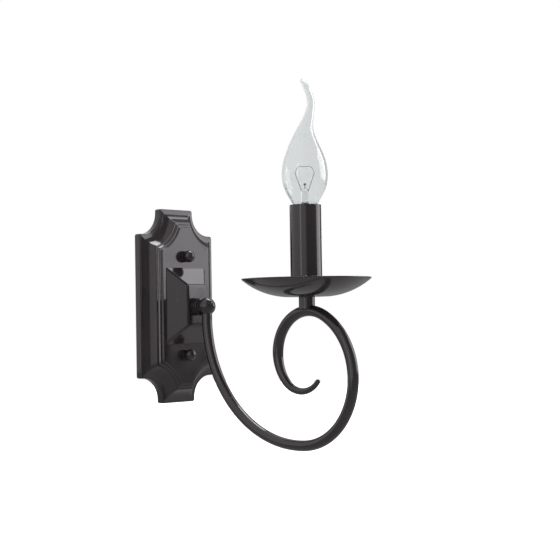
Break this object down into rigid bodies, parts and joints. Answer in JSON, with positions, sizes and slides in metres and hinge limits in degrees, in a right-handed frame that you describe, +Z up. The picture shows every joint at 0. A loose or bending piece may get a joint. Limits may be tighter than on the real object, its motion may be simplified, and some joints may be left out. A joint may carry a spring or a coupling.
{
  "type": "wall sconce",
  "caption": "Wall light with a moulded backplate, a scrolled tube arm, a round drip dish, a candle sleeve and a clear flame bulb with a bent tip.",
  "frame": {"origin": "middle of the strap's two screw slots, on the wall, which is the middle of the backplate's back", "axes": "+Z up, +Y into the wall, +X to the right for someone facing the wall"},
  "size_m": [0.1, 0.2032, 0.2864],
  "materials": {
    "enamel": "gloss",
    "zinc_steel": "satin",
    "brass": "satin",
    "nickel": "polished",
    "clear_glass": "polished",
    "holder_plastic": "matte",
    "block_plastic": "matte",
    "brown_insulation": "matte",
    "blue_insulation": "matte"
  },
  "bodies": {
    "frame": {"backplate": "enamel", "mounting_strap": "zinc_steel", "earth_washer": "brass", "earth_screw": "brass", "studs": "zinc_steel", "stud_lock_nuts": "zinc_steel", "hub_nipple": "zinc_steel", "hub_washer": "zinc_steel", "hub_lock_nut": "zinc_steel", "hub_body": "enamel", "hub_button": "enamel", "scroll_arm": "enamel", "neck_sleeve": "enamel", "candle_nipple": "zinc_steel", "drip_dish": "enamel", "dish_nut": "zinc_steel", "holder_bracket": "zinc_steel", "bracket_nut": "zinc_steel", "holder_body": "holder_plastic", "holder_screw": "zinc_steel", "holder_terminal_screws": "brass", "socket_shell": "brass", "socket_contact": "brass", "live_wire": "brown_insulation", "neutral_wire": "blue_insulation", "terminal_block": "block_plastic", "terminal_tubes": "brass", "terminal_pole_screws": "zinc_steel", "terminal_fixing_screw": "zinc_steel"},
    "upper_washer": {"upper_cap_washer": "enamel"},
    "upper_nut": {"upper_cap_nut": "enamel"},
    "lower_washer": {"lower_cap_washer": "enamel"},
    "lower_nut": {"lower_cap_nut": "enamel"},
    "sleeve": {"candle_sleeve": "enamel"},
    "bulb_foot": {"bulb_contact": "brass"},
    "bulb": {"bulb_cap": "nickel", "bulb_insulator": "holder_plastic", "bulb_glass": "clear_glass", "bulb_stem": "clear_glass", "bulb_leads": "nickel", "bulb_filament": "nickel"}
  },
  "joints": [
    {"name": "bulb_advance", "type": "slide", "parent": "frame", "child": "bulb_foot", "axis": [0, 0, 1], "range_m": [0, 0.0085]},
    {"name": "bulb_turn", "type": "hinge", "parent": "bulb_foot", "child": "bulb", "pos_m": [0, -0.15323, 0.0725], "axis": [0, 0, 1], "range_deg": [0, 1080]},
    {"name": "upper_nut_advance", "type": "slide", "parent": "frame", "child": "upper_washer", "axis": [0, -1, 0], "range_m": [0, 0.00562]},
    {"name": "upper_nut_turn", "type": "hinge", "parent": "upper_washer", "child": "upper_nut", "pos_m": [0, -0.0178, 0.041], "axis": [0, -1, 0], "range_deg": [0, 2880]},
    {"name": "lower_nut_advance", "type": "slide", "parent": "frame", "child": "lower_washer", "axis": [0, -1, 0], "range_m": [0, 0.00562]},
    {"name": "lower_nut_turn", "type": "hinge", "parent": "lower_washer", "child": "lower_nut", "pos_m": [0, -0.0178, -0.041], "axis": [0, -1, 0], "range_deg": [0, 2880]},
    {"name": "sleeve_turn", "type": "hinge", "parent": "frame", "child": "sleeve", "pos_m": [0, -0.15323, 0.006], "axis": [0, 0, 1], "continuous": true}
  ],
  "couplings": [
    {"joint": "bulb_advance", "follows": "bulb_turn", "m_per_rad": 0.00044882},
    {"joint": "upper_nut_advance", "follows": "upper_nut_turn", "m_per_rad": 0.00011141},
    {"joint": "lower_nut_advance", "follows": "lower_nut_turn", "m_per_rad": 0.00011141}
  ]
}
